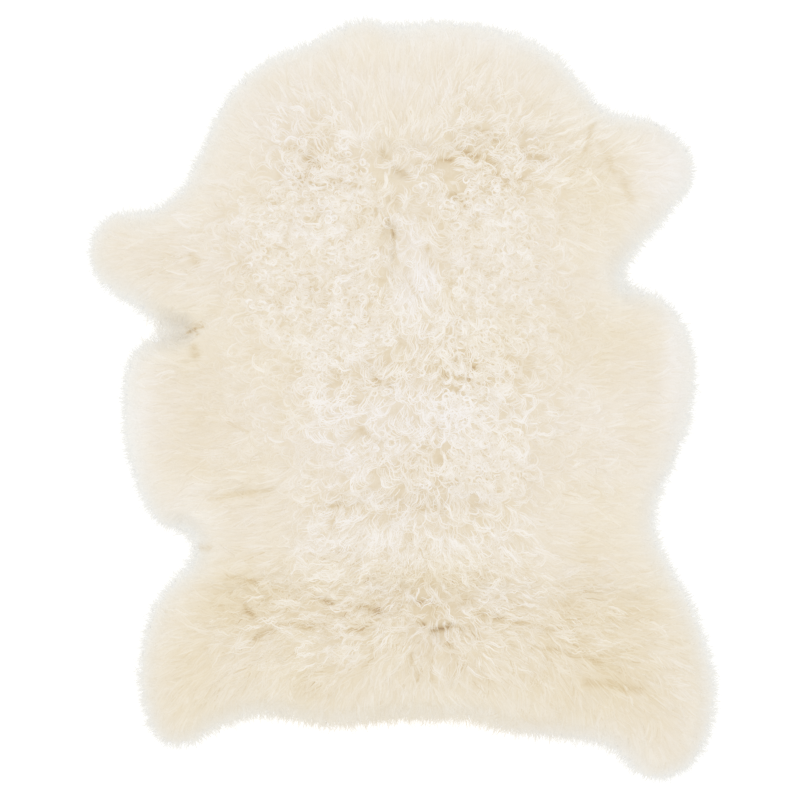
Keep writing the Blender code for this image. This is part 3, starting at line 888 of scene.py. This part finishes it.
class Ringlets(Locks):
    """Locks whose ends coil round, each a small ring or hook of a few strands seen from above."""

    def __init__(self, spacing, strands, steps, in_zone):
        super().__init__(lock_places(spacing, 0.38, in_zone, 0.004), strands, steps)
        self.heading = flow_heading(self.x, self.y) + rng.normal(0.0, 0.8, self.count)
        self.radius = 0.0036 + 0.0040 * rng.beta(1.6, 1.9, self.count)
        self.squash = rng.uniform(0.60, 1.10, self.count)
        self.turns = rng.uniform(0.45, 1.30, self.count) * rng.choice([-1.0, 1.0], self.count)
        self.high = rng.normal(0.0, 0.0003, self.count)
        self.lean_x = rng.normal(0.0, 0.07, self.count)
        self.lean_y = rng.normal(0.0, 0.07, self.count)

    def coils(self):
        """The strands' coils about their lock's place, and where across the lock each lies."""
        coil = smooth(0.10, 0.55, self.s) * 0.35 + 0.65 * self.s
        angle = self.spread(self.heading, 0.22)[:, None]
        angle = angle + 2 * np.pi * self.spread(self.turns, 0.05)[:, None] * coil
        share = rng.uniform(0.0, 1.0, self.many)
        reach = self.each(self.radius) * (0.80 + 0.34 * share)
        reach = reach[:, None] * (1.05 - 0.45 * self.s)
        coil_y = reach * np.sin(angle) * self.each(self.squash)[:, None]
        return reach * np.cos(angle), coil_y, share

    def plan_paths(self, coil_x, coil_y):
        """Where the strands run over the plan: coils that walk a little along the flow."""
        walk = 0.004 * (self.s - 0.5)
        off = rng.normal(0.0, 0.0007, (2, self.many, 1))
        heading = self.each(self.heading)[:, None]
        x = self.each(self.x)[:, None] + coil_x + walk * np.cos(heading) + off[0]
        y = self.each(self.y)[:, None] + coil_y + walk * np.sin(heading) + off[1]
        return x, y

    def lifts(self, coil_x, coil_y):
        """How high the strands lie above the fleece, in rings that lean a little."""
        tilt = self.each(self.lean_x)[:, None] * coil_x
        tilt = tilt + self.each(self.lean_y)[:, None] * coil_y
        layer = rng.uniform(0.0, 0.0008, self.many)
        arch = smooth(0.0, 0.22, self.s) * (1 - 0.8 * smooth(0.85, 1.0, self.s))
        return -0.0020 + (0.0018 + self.each(self.high) + layer)[:, None] * arch + tilt

    def widths(self, width):
        """Ribbons that keep their width until near the tip."""
        wide = width * rng.uniform(0.7, 1.35, self.many)[:, None]
        return wide * (0.15 + 0.85 * (1 - self.s**4)) * (0.7 + 0.3 * smooth(0, 0.2, self.s))

    def finished(self, width):
        """What finish_paths gives for all the strands."""
        coil_x, coil_y, share = self.coils()
        x, y = self.plan_paths(coil_x, coil_y)
        lift = self.lifts(coil_x, coil_y)
        wide, roll = self.widths(width), self.rolls(0.25, 0.4)
        scatter = 0.10 + self.spread(rng.normal(0.0, 0.15, self.count), 0.08)
        # Painted highlight and shade: the middle of each ring's band is paler, its edges darker.
        scatter = scatter + 0.20 * (0.5 - np.abs(share - 0.5) * 2.0)
        return finish_paths(x, y, lift, wide, roll, self.s, scatter)


def rim_fuzz(spacing, steps):
    """Fine single fibres that reach out past the rim and droop to the floor."""
    x, y = staggered(spacing, 0.42)
    near = plan.at(plan.inside, x, y)
    found = (near > 0.001) & (near < 0.016 + 0.012 * rng.uniform(0, 1, len(x)))
    x, y = x[found], y[found]
    many = len(x)
    s = np.linspace(0.0, 1.0, steps)[None, :]
    theta = flow_heading(x, y)[:, None] + rng.normal(0.0, 0.30, many)[:, None]
    theta = theta + rng.normal(0.0, 0.6, many)[:, None] * s
    length = rng.uniform(0.014, 0.030, many)
    length = reach_rim(x, y, theta[:, 0], length, FUZZ_SHORT, FUZZ_PAST)[:, None]
    px = x[:, None] + np.cumsum(length / (steps - 1) * np.cos(theta), axis=1)
    py = y[:, None] + np.cumsum(length / (steps - 1) * np.sin(theta), axis=1)
    lift = -0.004 * (1 - smooth(0, 0.3, s)) + rng.uniform(-0.003, 0.004, many)[:, None] * s
    wide = FIBRE_WIDTH * rng.uniform(0.6, 1.2, many)[:, None] * (0.1 + 0.9 * (1 - s**1.5))
    roll = np.repeat(rng.normal(0.0, 0.5, many)[:, None], steps, axis=1)
    return finish_paths(px, py, lift, wide, roll, s, rng.normal(0.0, 0.05, many))


# Pieces -------------------------------------------------------------

ZONE = CURL + 0.16 * plan.cloud(0.022)  # how much each place curls, with ragged borders
LOCKS_RIM_LIGHT = seen(253, 251, 244)  # painted rim light of the locks and the dense wool
FIBRES_RIM_LIGHT = seen(247, 247, 244)  # painted rim light of the fine fibres


def in_curled_zone(x, y):
    return plan.at(ZONE, x, y) >= CURLED


def in_hooked_zone(x, y):
    return plan.at(ZONE, x, y) >= HOOKED


def in_crimped_zone(x, y):
    return (plan.at(ZONE, x, y) < STRAIGHT) & (plan.at(TUFT, x, y) >= CRIMPED)


def in_silky_zone(x, y):
    return (plan.at(ZONE, x, y) < STRAIGHT) & (plan.at(TUFT, x, y) < CRIMPED)


# The locks that lie flat, from the wool that curls most to the straightest.
LYING_KINDS = (
    # kind, spacing, strands of a lock, points of a strand, zone, turn from and to, width
    ("hooked_locks", 0.0098, 5, 10, in_hooked_zone, (2.0, 4.4), 0.0015),
    ("crimped_locks", 0.0078, 6, 11, in_crimped_zone, (0.0, 0.7), 0.0015),
    ("silky_locks", 0.0084, 5, 7, in_silky_zone, (0.0, 0.5), 0.0018),
)


def hide_sheet():
    """The tanned skin under the wool: a thin closed sheet, a little inside the wool's outline."""
    edge = np.full(plan.grid_x.shape, HIDE_INSET)
    x, y, _, faces = trimmed_grid(HIDE_STEP, edge, HIDE_PULL, outermost=HIDE_INSET - 0.008)
    points = np.stack([x, y, np.full_like(x, HIDE_GAP + HIDE_THICK)], axis=-1)
    piece = make_piece("hide", points, faces, hide_material())
    shell = piece.modifiers.new("thickness", "SOLIDIFY")
    shell.thickness = HIDE_THICK
    shell.offset = -1.0
    return piece, float(len(faces) * HIDE_STEP * HIDE_STEP)


def fleece_base():
    """The dense wool under the locks: one open sheet from rim to rim over the rug's top."""
    edge = BASE_INSET - RIM_REACH
    x, y, near, faces = trimmed_grid(BASE_STEP, edge, BASE_PULL, outermost=-0.003)
    top = plan.at(TOP, x, y) - BASE_SUNK + 0.0008 * plan.at(plan.cloud(0.007), x, y)
    top = np.maximum(top * smooth(-0.002, 0.005, near), FLOOR_GAP)
    points = np.stack([x, y, top], axis=-1)
    material = wool_material("base_wool", (1.0, 1.0, 1.0), 0.9, LOCKS_RIM_LIGHT)
    piece = make_piece("fleece_base", points, faces, material, {"Strand": points[:, :2] * 300.0})
    # Painted shade: the dense wool under the locks is darker, most among the curls, as if in their
    # shade.
    lift = np.full((len(points), 1), -0.0015)
    under = -0.04 - 0.34 * plan.at(CURL, x, y)
    shade = wool_shade(x[:, None], y[:, None], lift, 0.5, under)
    colour_wool(piece, points, shade.ravel())
    return piece


def halves(name, strands, material):
    """The strands as two pieces, left and right, so that neither holds too many triangles."""
    root_x = strands[0][:, 0, 0]
    found = []
    for half, mask in (("left", root_x < HALFWAY), ("right", root_x >= HALFWAY)):
        share = tuple(values[mask] for values in strands)
        piece = strand_mesh(f"{name}_{half}", share, material)
        # Wool fibres let light through, so the locks don't shade one another.
        piece.visible_shadow = False
        piece.visible_diffuse = False
        found.append(piece)
    return found


hide, hide_area = hide_sheet()
lock_wool = wool_material("lock_wool", (5.0, 3.0, 1.0), 0.35, LOCKS_RIM_LIGHT)
rim_wool = wool_material("rim_wool", (5.0, 3.0, 1.0), 0.35, FIBRES_RIM_LIGHT)

pieces = [fleece_base()]
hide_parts(SKIN)
pieces += halves("ringlets", Ringlets(0.0086, 5, 13, in_curled_zone).finished(0.0009), lock_wool)
for kind, spacing, strands, points, zone, turn, width in LYING_KINDS:
    locks = LyingLocks(spacing, strands, points, zone, turn)
    pieces += halves(kind, locks.finished(width), lock_wool)
pieces += halves("rim_fibres", rim_fuzz(0.0019, 4), rim_wool)

# Stage --------------------------------------------------------------


def bright_world():
    world = bpy.data.worlds.new("studio")
    bpy.context.scene.world = world
    world.use_nodes = True
    background = world.node_tree.nodes["Background"]
    background.inputs["Color"].default_value = WHITE
    background.inputs["Strength"].default_value = 1.0


def soft_light(name, place, size, power):
    lamp = bpy.data.lights.new(name, "AREA")
    lamp.shape, lamp.size, lamp.energy = "SQUARE", size, power
    holder = add_object(name, lamp)
    holder.location = place
    holder.rotation_euler = (-Vector(place)).to_track_quat("-Z", "Y").to_euler()


def white_floor(reach):
    mesh = bpy.data.meshes.new("floor")
    corners = [(-reach, -reach, 0), (reach, -reach, 0), (reach, reach, 0), (-reach, reach, 0)]
    mesh.from_pydata(corners, [], [(0, 1, 2, 3)])
    floor = add_object("floor", mesh)
    material, _, shader = new_material("floor_white", 1.0, 0.0)
    shader.inputs["Base Color"].default_value = WHITE
    mesh.materials.append(material)
    return floor


def camera_above(x, y, level, view_width, lens, sensor):
    """A camera that looks straight down and sees this width of a plane at this level."""
    data = bpy.data.cameras.new("camera")
    data.lens = lens
    data.sensor_width = sensor
    data.clip_end = 50.0
    camera = add_object("camera", data)
    camera.location = (x, y, level + view_width * lens / sensor)
    bpy.context.scene.camera = camera


bright_world()
soft_light("key", (-0.15, 0.3, 3.0), 1.8, 18.2)
floor = white_floor(8.0)
camera_above(-0.0020, -0.0005, 0.03, view_width=0.9375, lens=100.0, sensor=36.0)
bpy.context.scene.view_settings.view_transform = "Standard"
